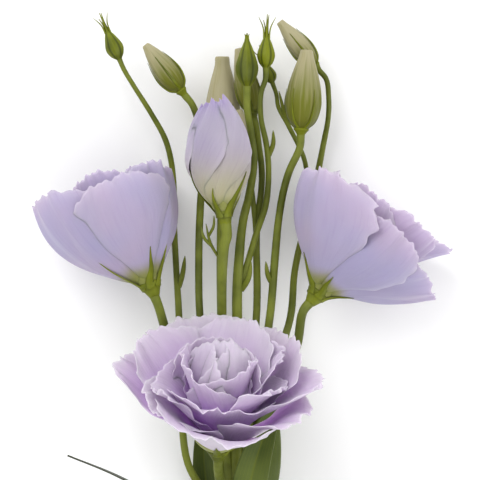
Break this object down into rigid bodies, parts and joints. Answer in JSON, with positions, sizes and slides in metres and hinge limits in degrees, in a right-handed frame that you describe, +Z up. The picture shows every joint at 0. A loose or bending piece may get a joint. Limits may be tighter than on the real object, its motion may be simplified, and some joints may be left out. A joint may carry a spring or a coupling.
{
  "type": "lisianthus flower",
  "caption": "Cut branched spray of double lisianthus lying down: ruffled layered blooms, an opening bloom, furled and green buds, slender stalks, paired leaves.",
  "frame": {"origin": "middle of the bounding box in X and Y, on the surface the spray lies on", "axes": "+Y along the stem from the cut end towards the buds, +Z up from the surface, +X to the right seen from above with the buds at the top"},
  "size_m": [0.1564, 0.2854, 0.0889],
  "materials": {
    "petal": "soft matte petal, pale lilac with whiter edges and violet depths",
    "bud_petal": "soft matte furled petal, cream green",
    "sepal": "smooth satin, yellow green",
    "stem": "smooth satin with a faint waxy bloom, olive green",
    "leaf": "satin with a faint waxy bloom, dark green"
  },
  "bodies": {
    "root": {"front_bloom_petals": "petal", "front_bloom_calyx": "sepal", "left_bloom_petals": "petal", "left_bloom_calyx": "sepal", "right_bloom_petals": "petal", "right_bloom_calyx": "sepal", "opening_bloom_petals": "petal", "opening_bloom_calyx": "sepal", "bud_2_petals": "bud_petal", "bud_2_calyx": "sepal", "bud_3_petals": "bud_petal", "bud_3_calyx": "sepal", "bud_4_petals": "bud_petal", "bud_4_calyx": "sepal", "bud_8_petals": "bud_petal", "bud_8_calyx": "sepal", "bud_9_petals": "bud_petal", "bud_9_calyx": "sepal", "bud_10_petals": "bud_petal", "bud_10_calyx": "sepal", "bud_1": "sepal", "bud_5": "sepal", "bud_6": "sepal", "bud_7": "sepal", "stem": "stem", "leaf_1": "leaf", "leaf_2": "leaf", "leaf_3": "leaf", "leaf_4": "leaf", "leaf_5": "leaf", "leaf_6": "leaf"}
  },
  "joints": []
}
